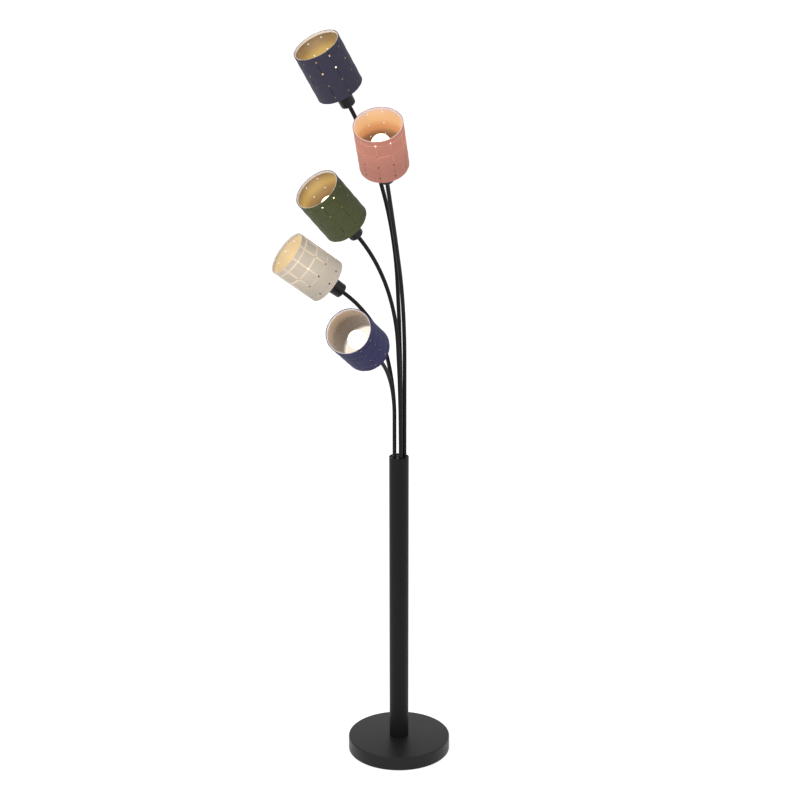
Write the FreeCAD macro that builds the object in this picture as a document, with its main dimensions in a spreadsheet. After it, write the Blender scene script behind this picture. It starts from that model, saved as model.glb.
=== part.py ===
import FreeCAD, Part
import math
import os

import BOPTools.SplitAPI
import Sketcher

# Tree floor lamp: a round weighted base, a thick pole, and five bent arms that each turn in
# a hole of the pole's top plate and carry a socket cup, a two-layer shade and a small bulb.
# Origin: under the foot pad on the pole's axis.  +Z up, -Y towards the front.

os.makedirs("parts", exist_ok=True)
document = FreeCAD.newDocument("tree_floor_lamp")
sizes = document.addObject("Spreadsheet::Sheet", "Sizes")
row = 0


def size(alias, value):
    """One driving dimension, in millimetres or degrees, on its own row of the sheet."""
    global row
    row += 1
    sizes.set("A%d" % row, alias)
    sizes.set("B%d" % row, str(value))
    sizes.setAlias("B%d" % row, alias)


# Clearances
size("fit_gap", 0.05)  # radial gap of a push or screw fit
size("turn_gap", 0.06)  # radial running gap where an arm turns
size("loose_gap", 0.3)  # gap beside a piece that only lies next to another

# Base
size("pad_set_back", 9)  # from the cover's edge in to the pad's
size("pad_thickness", 2.5)
size("cover_radius", 133)
size("cover_height", 36)
size("cover_wall", 1.5)
size("cover_edge_round", 2.5)
size("weight_side_gap", 3)
size("weight_well_radius", 34)  # middle well that holds the washer and nut
size("weight_well_depth", 16)
size("weight_pocket_inner_radius", 50)
size("weight_pocket_outer_radius", 92)
size("weight_pocket_depth", 20)
size("lead_channel_width", 11)
size("lead_channel_depth", 12)

# Tie tube, washer and nut
size("tie_radius", 6)
size("tie_bore_radius", 4.2)
size("tie_screwed_in", 18)
size("washer_radius", 20)
size("washer_thickness", 2.5)
size("nut_across_flats", 19)
size("nut_thickness", 7)
size("tie_past_nut", 1.5)

# Cable outlet in the cover's skirt
size("outlet_body_radius", 4.6)
size("outlet_bore_radius", 3.2)
size("outlet_flange_radius", 7)
size("outlet_flange_thickness", 2.5)
size("outlet_length", 9)
size("outlet_height", 14)

# Pole
size("pole_radius", 25)
size("pole_wall", 2)
size("pole_top_height", 816)
size("plug_height", 25)
size("terminal_width", 18)
size("terminal_depth", 12)
size("terminal_height", 40)
size("terminal_offset", 7.5)  # leaves the way up from the tie tube's bore free

# Plates that carry the arms
size("plate_recess", 1.5)
size("top_plate_thickness", 5)
size("guide_plate_thickness", 5)
size("plate_spacing", 75)
size("bush_wall", 1.4)
size("bush_flange_lip", 0.84)
size("bush_flange_thickness", 1)
size("plate_edge_margin", 1.7)  # from a bush's flange out to the pole's bore
size("collar_wall", 2.35)
size("collar_height", 8)
size("collar_running_gap", 0.2)
size("arm_tail", 6)  # length of arm below the guide plate

# Arm tube
size("tube_radius", 5)
size("tube_wall", 1)
size("tube_screwed_in", 12)
size("arm_piece_turn", 12)  # the most degrees that one solid of an arm bends through

# Socket cup and lamp holder, measured up the head's own axis from under the cup
size("cup_foot_radius", 18.2)
size("cup_edge_round", 3)
size("cup_floor", 4)
size("cup_radius", 20)
size("cup_height", 47)
size("cup_wall", 1.5)
size("holder_hub_wall", 3.95)
size("holder_shoulder_height", 20)
size("holder_body_radius", 13)
size("holder_flange_gap", 0.5)  # from the flange out to the cup's wall
size("holder_flange_thickness", 2)
size("holder_wall", 6.8)  # round the bulb cap's socket, out to the thread
size("holder_top_height", 76)
size("socket_floor_height", 58)
size("ring_radius", 18.5)
size("ring_height", 9)
size("ring_thread_gap", 0.1)

# Shade: outer shell and liner
size("shade_radius", 57.4)
size("shade_height", 125.6)
size("shell_wall", 1.2)
size("liner_gap", 0.15)
size("liner_wall", 1)
size("liner_floor", 1.5)
size("liner_lip_width", 2.2)
size("liner_lip_height", 6)
size("hole_radius", 2.6)
size("liner_hole_radius", 1.9)
size("hole_columns", 10)  # also the number of solids that the liner's wall is made of
size("first_hole_below_rim", 13.6)
size("hole_row_pitch", 33)

# Bulb
size("globe_radius", 22.5)
size("globe_centre_height", 114)
size("globe_neck_lip", 0.7)  # by which the neck is wider than the cap
size("globe_wall", 1)
size("globe_shoulder", 40)  # degrees below its equator at which the globe draws in
size("cap_radius", 6.9)
size("cap_length", 28)

# Each arm: hole position round the pole, direction and tilt of its head, and the two arcs
# that bend the tube over.  shade_turn turns the shade's hole columns about its own axis.
ARM_FORMS = {
    "blue": dict(hole=72, heading=221, rise=141.44, lower_bend=4400, lower_turn=4.1,
                 upper_bend=929.24, tilt=33.3, shade_turn=3.5),
    "pink": dict(hole=0, heading=259.4, rise=247.77, lower_bend=499, lower_turn=31,
                 upper_bend=4118.94, tilt=35, shade_turn=1.3),
    "green": dict(hole=-72, heading=221, rise=30.58, lower_bend=3850, lower_turn=4,
                  upper_bend=469.89, tilt=43.8, shade_turn=13.1),
    "white": dict(hole=144, heading=199.2, rise=101.1, lower_bend=676, lower_turn=13,
                  upper_bend=323.96, tilt=52.5, shade_turn=16.7),
    "navy": dict(hole=-144, heading=246.4, rise=108.84, lower_bend=204.27, lower_turn=54.8,
                 upper_bend=1170, tilt=56.9, shade_turn=5.9),
}
for colour, form in ARM_FORMS.items():
    for measure, value in form.items():
        size(colour + "_" + measure, value)

document.recompute()


def read(alias):
    """The value of one cell of the sheet."""
    return float(sizes.get(alias))


def expression(text):
    """A binding text in which every word that is a cell's alias points at the sheet."""
    words = []
    word = ""
    for letter in text + " ":
        if letter.isalnum() or letter == "_":
            word += letter
            continue
        is_alias = bool(word) and sizes.getCellFromAlias(word) is not None
        words.append(("Sizes." if is_alias else "") + word + letter)
        word = ""
    return "".join(words).strip()


calculator = document.addObject("App::FeaturePython", "Calculator")
calculator.addProperty("App::PropertyFloat", "Result")


def number(text):
    """The value of such a text, for the first guess of a sketch and for placements."""
    calculator.setExpression("Result", expression(text))
    calculator.recompute()
    return calculator.Result


def origin_plane(body, role):
    """One of a body's own origin planes."""
    return [plane for plane in body.Origin.OriginFeatures if plane.Role == role][0]


def new_sketch(body, name, role):
    """A sketch on one of the body's origin planes."""
    sketch = body.newObject("Sketcher::SketchObject", name)
    sketch.AttachmentSupport = [(origin_plane(body, role), "")]
    sketch.MapMode = "FlatFace"
    return sketch


def bind(sketch, kind, places, text):
    """One dimension of a sketch, bound to the sheet."""
    index = sketch.addConstraint(Sketcher.Constraint(kind, *places, number(text)))
    sketch.setExpression("Constraints[%d]" % index, expression(text))


def place_point(sketch, edge, end, across, up):
    """Hold the end of an edge at two distances from the sketch's origin."""
    if across == "0":
        sketch.addConstraint(Sketcher.Constraint("PointOnObject", edge, end, -2))
    else:
        bind(sketch, "DistanceX", (-1, 1, edge, end), across)
    if up == "0":
        sketch.addConstraint(Sketcher.Constraint("PointOnObject", edge, end, -1))
    else:
        bind(sketch, "DistanceY", (-1, 1, edge, end), up)


def close_outline(sketch, corners):
    """A closed outline of straight edges through corners given as pairs of texts."""
    points = [FreeCAD.Vector(number(a), number(b), 0) for a, b in corners]
    first = sketch.GeometryCount
    count = len(points)
    for i in range(count):
        sketch.addGeometry(Part.LineSegment(points[i], points[(i + 1) % count]), False)
    for i in range(count):
        following = first + (i + 1) % count
        sketch.addConstraint(Sketcher.Constraint("Coincident", first + i, 2, following, 1))
        place_point(sketch, first + i, 1, *corners[i])
    return first


def turned(name, corners, angle="360"):
    """A body turned about its own Z axis from an outline of (radius, height) corners."""
    body = document.addObject("PartDesign::Body", name)
    sketch = new_sketch(body, name + "_outline", "XZ_Plane")
    close_outline(sketch, corners)
    document.recompute()
    revolution = body.newObject("PartDesign::Revolution", name + "_turned")
    revolution.Profile = sketch
    revolution.ReferenceAxis = (sketch, ["V_Axis"])
    revolution.setExpression("Angle", expression(angle))
    document.recompute()
    return body


def tube_wall(name, inner, outer, low, high):
    """A plain ring between two radii and two heights."""
    return turned(name, [(inner, low), (outer, low), (outer, high), (inner, high)])


def cut_holes(body, name, circles, length):
    """Round holes drilled up from the XY plane, each (across, up, radius)."""
    sketch = new_sketch(body, name + "_circles", "XY_Plane")
    for across, up, radius in circles:
        centre = FreeCAD.Vector(number(across), number(up), 0)
        edge = sketch.addGeometry(
            Part.Circle(centre, FreeCAD.Vector(0, 0, 1), number(radius)), False)
        place_point(sketch, edge, 3, across, up)
        bind(sketch, "Radius", (edge,), radius)
    document.recompute()
    pocket = body.newObject("PartDesign::Pocket", name)
    pocket.Profile = sketch
    pocket.Reversed = True
    pocket.setExpression("Length", expression(length))
    document.recompute()
    return pocket


def pattern(body, name, feature, axis, count):
    """Copies of a feature spaced evenly round one of the body's origin axes."""
    polar = body.newObject("PartDesign::PolarPattern", name)
    polar.Originals = [feature]
    polar.Axis = (origin_plane(body, axis), [""])
    polar.Angle = 360
    polar.setExpression("Occurrences", expression(count))
    body.Tip = polar
    document.recompute()
    return polar


def gather(name, shapes):
    """A sub-part made of several solids."""
    group = document.addObject("Part::Feature", name)
    group.Shape = Part.makeCompound(shapes)
    return group


parts = []


def keep(node, placement=None):
    """Name a finished sub-part, put it in its place and remember it."""
    node.Label = node.Name
    if placement is not None:
        node.Placement = placement
    parts.append(node)
    return node


# ---------------------------------------------------------------- base
COVER_TOP = "pad_thickness + cover_height"
WEIGHT_TOP = COVER_TOP + " - cover_wall"
WEIGHT_RADIUS = "cover_radius - cover_wall - weight_side_gap"
WELL_TOP = "pad_thickness + weight_well_depth"
POCKET_TOP = "pad_thickness + weight_pocket_depth"

pad = document.addObject("Part::Cylinder", "base_pad")
pad.setExpression("Radius", expression("cover_radius - pad_set_back"))
pad.setExpression("Height", expression("pad_thickness"))
keep(pad)

# The weight is cast hollow underneath: a middle well for the nut, then a ring-shaped pocket.
weight = turned("base_weight", [
    ("tie_radius + fit_gap", WELL_TOP),
    ("weight_well_radius", WELL_TOP),
    ("weight_well_radius", "pad_thickness"),
    ("weight_pocket_inner_radius", "pad_thickness"),
    ("weight_pocket_inner_radius", POCKET_TOP),
    ("weight_pocket_outer_radius", POCKET_TOP),
    ("weight_pocket_outer_radius", "pad_thickness"),
    (WEIGHT_RADIUS, "pad_thickness"),
    (WEIGHT_RADIUS, WEIGHT_TOP),
    ("tie_radius + fit_gap", WEIGHT_TOP),
])
# A channel under the weight leads the mains lead from the well out to the rear.
channel = new_sketch(weight, "lead_channel_outline", "XY_Plane")
half_channel = read("lead_channel_width") / 2
reach = read("cover_radius")
channel_points = [(-half_channel, 0), (half_channel, 0), (half_channel, reach),
                  (-half_channel, reach)]
for i in range(4):
    here = FreeCAD.Vector(*channel_points[i], 0)
    there = FreeCAD.Vector(*channel_points[(i + 1) % 4], 0)
    channel.addGeometry(Part.LineSegment(here, there), False)
for i in range(4):
    channel.addConstraint(Sketcher.Constraint("Coincident", i, 2, (i + 1) % 4, 1))
channel.addConstraint(Sketcher.Constraint("Horizontal", 0))
channel.addConstraint(Sketcher.Constraint("Vertical", 1))
channel.addConstraint(Sketcher.Constraint("Horizontal", 2))
channel.addConstraint(Sketcher.Constraint("Symmetric", 0, 1, 0, 2, -1, 1))
bind(channel, "Distance", (0,), "lead_channel_width")
bind(channel, "Distance", (1,), "cover_radius")
channel.addConstraint(Sketcher.Constraint("Parallel", 1, 3))
document.recompute()
channel_cut = weight.newObject("PartDesign::Pocket", "lead_channel")
channel_cut.Profile = channel
channel_cut.Reversed = True
channel_cut.setExpression("Length", expression(
    "pad_thickness + lead_channel_depth + outlet_body_radius"))
document.recompute()
keep(weight)

# A rounded edge is two flats that meet this far inside the square corner.
EDGE_MIDDLE = " - cover_edge_round * 0.3"
cover = turned("base_cover", [
    ("tie_radius + fit_gap", WEIGHT_TOP),
    ("cover_radius - cover_wall", WEIGHT_TOP),
    ("cover_radius - cover_wall", "pad_thickness"),
    ("cover_radius", "pad_thickness"),
    ("cover_radius", COVER_TOP + " - cover_edge_round"),
    ("cover_radius" + EDGE_MIDDLE, COVER_TOP + EDGE_MIDDLE),
    ("cover_radius - cover_edge_round", COVER_TOP),
    ("tie_radius + fit_gap", COVER_TOP),
])
# Hole in the skirt's rear for the outlet.
outlet_hole = new_sketch(cover, "outlet_hole_circle", "XZ_Plane")
outlet_circle = outlet_hole.addGeometry(
    Part.Circle(FreeCAD.Vector(0, read("outlet_height"), 0), FreeCAD.Vector(0, 0, 1),
                number("outlet_body_radius + fit_gap")), False)
place_point(outlet_hole, outlet_circle, 3, "0", "outlet_height")
bind(outlet_hole, "Radius", (outlet_circle,), "outlet_body_radius + fit_gap")
document.recompute()
undrilled_volume = cover.Shape.Volume
outlet_cut = cover.newObject("PartDesign::Pocket", "outlet_hole")
outlet_cut.Profile = outlet_hole
outlet_cut.setExpression("Length", expression("cover_radius + cover_wall"))
document.recompute()
assert cover.Shape.Volume < undrilled_volume
keep(cover)

# Bush for the mains lead, its flange outside the skirt; its axis points to the rear.
outlet = turned("cable_outlet", [
    ("outlet_bore_radius", "0"),
    ("outlet_body_radius", "0"),
    ("outlet_body_radius", "outlet_length - outlet_flange_thickness"),
    ("outlet_flange_radius", "outlet_length - outlet_flange_thickness"),
    ("outlet_flange_radius", "outlet_length"),
    ("outlet_bore_radius", "outlet_length"),
])
outlet_start = number("cover_radius - outlet_length + outlet_flange_thickness + loose_gap")
keep(outlet, FreeCAD.Placement(
    FreeCAD.Vector(0, outlet_start, read("outlet_height")),
    FreeCAD.Rotation(FreeCAD.Vector(1, 0, 0), -90)))

# ---------------------------------------------------------------- tie tube, washer, nut
WASHER_LOW = WELL_TOP + " - washer_thickness"
NUT_LOW = WASHER_LOW + " - nut_thickness"
tie = tube_wall("tie_tube", "tie_bore_radius", "tie_radius", NUT_LOW + " - tie_past_nut",
                COVER_TOP + " + tie_screwed_in")
keep(tie)
keep(tube_wall("tie_washer", "tie_radius + fit_gap", "washer_radius", WASHER_LOW, WELL_TOP))

nut_blank = document.addObject("Part::Prism", "nut_blank")
nut_blank.Polygon = 6
nut_blank.setExpression("Circumradius", expression("nut_across_flats / sqrt(3)"))
nut_blank.setExpression("Height", expression("nut_thickness"))
nut_bore = document.addObject("Part::Cylinder", "nut_bore")
nut_bore.setExpression("Radius", expression("tie_radius + fit_gap"))
nut_bore.setExpression("Height", expression("nut_thickness"))
nut = document.addObject("Part::Cut", "tie_nut")
nut.Base = nut_blank
nut.Tool = nut_bore
keep(nut, FreeCAD.Placement(FreeCAD.Vector(0, 0, number(NUT_LOW)), FreeCAD.Rotation()))

# ---------------------------------------------------------------- pole
POLE_BORE = "pole_radius - pole_wall"
keep(tube_wall("pole_plug", "tie_radius + fit_gap", POLE_BORE + " - fit_gap", COVER_TOP,
               COVER_TOP + " + plug_height"))
keep(tube_wall("pole_tube", POLE_BORE, "pole_radius", COVER_TOP, "pole_top_height"))

terminal = document.addObject("Part::Box", "terminal_block")
terminal.setExpression("Length", expression("terminal_width"))
terminal.setExpression("Width", expression("terminal_depth"))
terminal.setExpression("Height", expression("terminal_height"))
keep(terminal, FreeCAD.Placement(
    FreeCAD.Vector(-read("terminal_width") / 2, read("terminal_offset"),
                   number(COVER_TOP + " + plug_height")), FreeCAD.Rotation()))

# ---------------------------------------------------------------- plates and bushes
TOP_PLATE_HIGH = "pole_top_height - plate_recess - bush_flange_thickness"
TOP_PLATE_LOW = TOP_PLATE_HIGH + " - top_plate_thickness"
GUIDE_HIGH = TOP_PLATE_LOW + " - plate_spacing"
GUIDE_LOW = GUIDE_HIGH + " - guide_plate_thickness"
BUSH_BORE = "tube_radius + turn_gap"
BUSH_RADIUS = BUSH_BORE + " + bush_wall"
BUSH_FLANGE = BUSH_RADIUS + " + bush_flange_lip"
ARM_CIRCLE = POLE_BORE + " - plate_edge_margin - (" + BUSH_FLANGE + ")"


def plate(name, thickness, hole):
    """A disc in the pole's bore with one hole for each arm."""
    disc = document.addObject("PartDesign::Body", name)
    rim = new_sketch(disc, name + "_rim", "XY_Plane")
    edge = rim.addGeometry(Part.Circle(FreeCAD.Vector(0, 0, 0), FreeCAD.Vector(0, 0, 1),
                                       number(POLE_BORE + " - fit_gap")), False)
    rim.addConstraint(Sketcher.Constraint("Coincident", edge, 3, -1, 1))
    bind(rim, "Radius", (edge,), POLE_BORE + " - fit_gap")
    document.recompute()
    pad_feature = disc.newObject("PartDesign::Pad", name + "_disc")
    pad_feature.Profile = rim
    pad_feature.setExpression("Length", expression(thickness))
    document.recompute()
    drilled = cut_holes(disc, name + "_hole", [(ARM_CIRCLE, "0", hole)], thickness)
    pattern(disc, name + "_holes", drilled, "Z_Axis", str(len(ARM_FORMS)))
    return disc


top_plate = plate("top_plate", "top_plate_thickness", BUSH_RADIUS + " + fit_gap")
keep(top_plate, FreeCAD.Placement(FreeCAD.Vector(0, 0, number(TOP_PLATE_LOW)),
                                  FreeCAD.Rotation()))
guide = plate("guide_plate", "guide_plate_thickness", BUSH_BORE)
keep(guide, FreeCAD.Placement(FreeCAD.Vector(0, 0, number(GUIDE_LOW)), FreeCAD.Rotation()))

# Five equal flanged bushes, one in each hole of the top plate.
bush_blank = turned("bush_blank", [
    (BUSH_BORE, "0"),
    (BUSH_RADIUS, "0"),
    (BUSH_RADIUS, "top_plate_thickness"),
    (BUSH_FLANGE, "top_plate_thickness"),
    (BUSH_FLANGE, "top_plate_thickness + bush_flange_thickness"),
    (BUSH_BORE, "top_plate_thickness + bush_flange_thickness"),
])


def hole_place(angle, height):
    """The point on a hole's axis at a height."""
    radius = number(ARM_CIRCLE)
    return FreeCAD.Vector(radius * math.cos(math.radians(angle)),
                          radius * math.sin(math.radians(angle)), height)


bush_shapes = []
for colour in ARM_FORMS:
    shape = bush_blank.Shape.copy()
    shape.translate(hole_place(read(colour + "_hole"), number(TOP_PLATE_LOW)))
    bush_shapes.append(shape)
keep(gather("arm_bushes", bush_shapes))


# ---------------------------------------------------------------- arms and heads
ARM_FOOT = GUIDE_LOW + " - arm_tail"
COLLAR_LOW = GUIDE_HIGH + " + collar_running_gap"


def cut_bend(centre, radius, first, last):
    """Discs across a bend, at its start and wherever a further piece of the arm starts."""
    pieces = math.ceil(math.degrees(last - first) / read("arm_piece_turn"))
    discs = []
    for index in range(pieces):
        angle = first + (last - first) * index / pieces
        place = centre + radius * FreeCAD.Vector(-math.cos(angle), math.sin(angle), 0)
        ring = Part.makeCircle(2 * read("tube_radius"), FreeCAD.Vector(place.x, 0, place.y),
                               FreeCAD.Vector(math.sin(angle), 0, math.cos(angle)))
        discs.append(Part.Face(Part.Wire(ring)))
    return discs


def bend_arm(colour):
    """A tube swept up, over two tangent arcs and straight on into its cup."""
    name = colour + "_sweep"
    arm = document.addObject("PartDesign::Body", name)
    ring = new_sketch(arm, name + "_section", "XY_Plane")
    for radius in ("tube_radius", "tube_radius - tube_wall"):
        edge = ring.addGeometry(Part.Circle(FreeCAD.Vector(0, 0, 0), FreeCAD.Vector(0, 0, 1),
                                            number(radius)), False)
        ring.addConstraint(Sketcher.Constraint("Coincident", edge, 3, -1, 1))
        bind(ring, "Radius", (edge,), radius)

    upright = "pole_top_height + %s_rise - (%s)" % (colour, ARM_FOOT)
    lower = read(colour + "_lower_bend")
    upper = read(colour + "_upper_bend")
    first = math.radians(read(colour + "_lower_turn"))
    last = math.radians(read(colour + "_tilt"))
    start = FreeCAD.Vector(0, number(upright), 0)
    lower_centre = start + FreeCAD.Vector(lower, 0, 0)
    knee = lower_centre + lower * FreeCAD.Vector(-math.cos(first), math.sin(first), 0)
    upper_centre = knee + upper * FreeCAD.Vector(math.cos(first), -math.sin(first), 0)
    tip = upper_centre + upper * FreeCAD.Vector(-math.cos(last), math.sin(last), 0)
    end = tip + read("tube_screwed_in") * FreeCAD.Vector(math.sin(last), math.cos(last), 0)

    path = new_sketch(arm, name + "_path", "XZ_Plane")
    facing = FreeCAD.Vector(0, 0, 1)
    path.addGeometry(Part.LineSegment(FreeCAD.Vector(0, 0, 0), start), False)
    path.addGeometry(Part.ArcOfCircle(Part.Circle(lower_centre, facing, lower),
                                      math.pi - first, math.pi), False)
    path.addGeometry(Part.ArcOfCircle(Part.Circle(upper_centre, facing, upper),
                                      math.pi - last, math.pi - first), False)
    path.addGeometry(Part.LineSegment(tip, end), False)
    path.addConstraint(Sketcher.Constraint("Coincident", 0, 1, -1, 1))
    path.addConstraint(Sketcher.Constraint("Vertical", 0))
    path.addConstraint(Sketcher.Constraint("Tangent", 0, 2, 1, 2))
    path.addConstraint(Sketcher.Constraint("Tangent", 1, 1, 2, 2))
    path.addConstraint(Sketcher.Constraint("Tangent", 2, 1, 3, 1))
    bind(path, "DistanceY", (0, 1, 0, 2), upright)
    bind(path, "Radius", (1,), colour + "_lower_bend")
    bind(path, "Radius", (2,), colour + "_upper_bend")
    bind(path, "DistanceY", (1, 2, 1, 1),
         "%s_lower_bend * sin(%s_lower_turn * 1 deg)" % (colour, colour))
    bind(path, "DistanceY", (2, 2, 2, 1),
         "%s_upper_bend * (sin(%s_tilt * 1 deg) - sin(%s_lower_turn * 1 deg))"
         % (colour, colour, colour))
    bind(path, "Distance", (3,), "tube_screwed_in")
    document.recompute()
    pipe = arm.newObject("PartDesign::AdditivePipe", name + "_tube")
    pipe.Profile = ring
    pipe.Spine = (path, ["Edge1", "Edge2", "Edge3", "Edge4"])
    document.recompute()

    discs = cut_bend(lower_centre, lower, 0, first) + cut_bend(upper_centre, upper, first, last)
    pieces = BOPTools.SplitAPI.slice(arm.Shape, discs, "Split").Solids
    assert len(pieces) == len(discs) + 1
    foot = hole_place(read(colour + "_hole"), number(ARM_FOOT))
    turn = FreeCAD.Rotation(FreeCAD.Vector(0, 0, 1), read(colour + "_heading"))
    keep(gather(colour + "_arm", pieces), FreeCAD.Placement(foot, turn))
    lean = FreeCAD.Rotation(FreeCAD.Vector(0, 1, 0), read(colour + "_tilt"))
    head_point = foot + turn.multVec(FreeCAD.Vector(tip.x, 0, tip.y))
    return FreeCAD.Placement(head_point, turn.multiply(lean))


def drill_column(body, name, radius):
    """One column of round holes through a wall of the shade, above the body's X axis."""
    column = new_sketch(body, name + "_column", "YZ_Plane")
    rows = 1 + int(number("(shade_height - first_hole_below_rim) / hole_row_pitch"))
    for index in range(rows):
        height = ("cup_height + shade_height - first_hole_below_rim - %d * hole_row_pitch"
                  % index)
        edge = column.addGeometry(
            Part.Circle(FreeCAD.Vector(0, number(height), 0), FreeCAD.Vector(0, 0, 1),
                        read(radius)), False)
        place_point(column, edge, 3, "0", height)
        bind(column, "Radius", (edge,), radius)
    document.recompute()
    solid_volume = body.Shape.Volume
    cut = body.newObject("PartDesign::Pocket", name + "_holes")
    cut.Profile = column
    cut.Reversed = True
    cut.setExpression("Length", expression("shade_radius + shell_wall"))
    document.recompute()
    assert body.Shape.Volume < solid_volume
    return cut


GLOBE_NECK = "cap_radius + globe_neck_lip"
CAP_TOP = "socket_floor_height + cap_length"


def turned_globe(name):
    """The bulb's thin round globe, drawn in to an open neck where it meets the cap."""
    globe = document.addObject("PartDesign::Body", name)
    outline = new_sketch(globe, name + "_outline", "XZ_Plane")
    facing = FreeCAD.Vector(0, 0, 1)
    centre = FreeCAD.Vector(0, read("globe_centre_height"), 0)
    foot_height = number(CAP_TOP)
    shoulder = -math.radians(read("globe_shoulder"))
    tops = []
    sides = []
    feet = []
    for inset in (0, read("globe_wall")):
        radius = read("globe_radius") - inset
        outline.addGeometry(Part.ArcOfCircle(Part.Circle(centre, facing, radius),
                                             shoulder, math.pi / 2), False)
        tops.append(centre + FreeCAD.Vector(0, radius, 0))
        sides.append(centre + radius * FreeCAD.Vector(math.cos(shoulder),
                                                      math.sin(shoulder), 0))
        feet.append(FreeCAD.Vector(number(GLOBE_NECK) - inset, foot_height, 0))
    outer, inner = 0, 1
    outline.addGeometry(Part.LineSegment(tops[0], tops[1]), False)
    outline.addGeometry(Part.LineSegment(sides[1], feet[1]), False)
    outline.addGeometry(Part.LineSegment(feet[1], feet[0]), False)
    outline.addGeometry(Part.LineSegment(feet[0], sides[0]), False)
    top, inner_neck, base, outer_neck = 2, 3, 4, 5
    outline.addConstraint(Sketcher.Constraint("Coincident", outer, 2, top, 1))
    outline.addConstraint(Sketcher.Constraint("Coincident", top, 2, inner, 2))
    outline.addConstraint(Sketcher.Constraint("Tangent", inner, 1, inner_neck, 1))
    outline.addConstraint(Sketcher.Constraint("Coincident", inner_neck, 2, base, 1))
    outline.addConstraint(Sketcher.Constraint("Coincident", base, 2, outer_neck, 1))
    outline.addConstraint(Sketcher.Constraint("Tangent", outer_neck, 2, outer, 1))
    outline.addConstraint(Sketcher.Constraint("Coincident", outer, 3, inner, 3))
    outline.addConstraint(Sketcher.Constraint("PointOnObject", outer, 2, -2))
    outline.addConstraint(Sketcher.Constraint("PointOnObject", inner, 2, -2))
    place_point(outline, outer, 3, "0", "globe_centre_height")
    bind(outline, "Radius", (outer,), "globe_radius")
    bind(outline, "Radius", (inner,), "globe_radius - globe_wall")
    place_point(outline, base, 1, GLOBE_NECK + " - globe_wall", CAP_TOP)
    place_point(outline, base, 2, GLOBE_NECK, CAP_TOP)
    document.recompute()
    revolution = globe.newObject("PartDesign::Revolution", name + "_turned")
    revolution.Profile = outline
    revolution.ReferenceAxis = (outline, ["V_Axis"])
    revolution.Angle = 360
    document.recompute()
    return globe


SHADE_TOP = "cup_height + shade_height"
LINER_RADIUS = "shade_radius - shell_wall - liner_gap"
LINER_BORE = LINER_RADIUS + " - liner_wall"
LIP_BORE = LINER_RADIUS + " - liner_lip_width"
CAP_BORE = "cap_radius + loose_gap"
THREAD_RADIUS = CAP_BORE + " + holder_wall"
THREAD_BORE = THREAD_RADIUS + " + ring_thread_gap"
ARM_BORE = "tube_radius + fit_gap"
HUB_RADIUS = ARM_BORE + " + holder_hub_wall"
FLANGE_RADIUS = "cup_radius - cup_wall - holder_flange_gap"


def make_head(colour, head):
    """Cup, lamp holder, shade ring, shade and bulb on the arm's end."""
    cup = turned(colour + "_cup", [
        (ARM_BORE, "0"),
        ("cup_foot_radius - cup_edge_round", "0"),
        ("cup_foot_radius - cup_edge_round * 0.3", "cup_edge_round * 0.3"),
        ("cup_foot_radius", "cup_edge_round"),
        ("cup_radius", "cup_height"),
        ("cup_radius - cup_wall", "cup_height"),
        ("cup_foot_radius - cup_wall", "cup_floor"),
        (ARM_BORE, "cup_floor"),
    ])
    keep(cup, head)
    holder = turned(colour + "_holder", [
        (ARM_BORE, "cup_floor"),
        (HUB_RADIUS, "cup_floor"),
        (HUB_RADIUS, "holder_shoulder_height"),
        ("holder_body_radius", "holder_shoulder_height"),
        ("holder_body_radius", "cup_height - holder_flange_thickness"),
        (FLANGE_RADIUS, "cup_height - holder_flange_thickness"),
        (FLANGE_RADIUS, "cup_height"),
        (THREAD_RADIUS, "cup_height"),
        (THREAD_RADIUS, "holder_top_height"),
        (CAP_BORE, "holder_top_height"),
        (CAP_BORE, "socket_floor_height"),
        ("0", "socket_floor_height"),
        ("0", "tube_screwed_in + loose_gap"),
        (ARM_BORE, "tube_screwed_in + loose_gap"),
    ])
    keep(holder, head)
    shade_turn = FreeCAD.Rotation(FreeCAD.Vector(0, 0, 1), read(colour + "_shade_turn"))
    shade_place = head.multiply(FreeCAD.Placement(FreeCAD.Vector(0, 0, 0), shade_turn))
    keep(tube_wall(colour + "_ring", THREAD_BORE, "ring_radius", "cup_height + liner_floor",
                   "cup_height + liner_floor + ring_height"), head)
    shell = tube_wall(colour + "_shell", "shade_radius - shell_wall", "shade_radius",
                      "cup_height", SHADE_TOP)
    drilled = drill_column(shell, colour + "_shell", "hole_radius")
    pattern(shell, colour + "_shell_hole_ring", drilled, "Z_Axis", "hole_columns")
    keep(shell, shade_place)
    floor = tube_wall(colour + "_liner_floor", THREAD_BORE, LINER_BORE, "cup_height",
                      "cup_height + liner_floor")
    stave = turned(colour + "_liner_stave", [
        (LINER_BORE, "cup_height"),
        (LINER_RADIUS, "cup_height"),
        (LINER_RADIUS, SHADE_TOP),
        (LIP_BORE, SHADE_TOP),
        (LIP_BORE, SHADE_TOP + " - liner_lip_height"),
        (LINER_BORE, SHADE_TOP + " - liner_lip_height"),
    ], "360 / hole_columns")
    stave.Tip.Midplane = True
    drill_column(stave, colour + "_liner_stave", "liner_hole_radius")
    staves = int(read("hole_columns"))
    wall = []
    for index in range(staves):
        copy = stave.Shape.copy()
        copy.rotate(FreeCAD.Vector(0, 0, 0), FreeCAD.Vector(0, 0, 1), index * 360 / staves)
        wall.append(copy)
    keep(gather(colour + "_liner", [floor.Shape.copy()] + wall), shade_place)
    keep(turned_globe(colour + "_globe"), head)
    cap = document.addObject("Part::Cylinder", colour + "_cap")
    cap.setExpression("Radius", expression("cap_radius"))
    cap.setExpression("Height", expression("cap_length"))
    seat = FreeCAD.Placement(FreeCAD.Vector(0, 0, read("socket_floor_height")),
                             FreeCAD.Rotation())
    keep(cap, head.multiply(seat))


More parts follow.
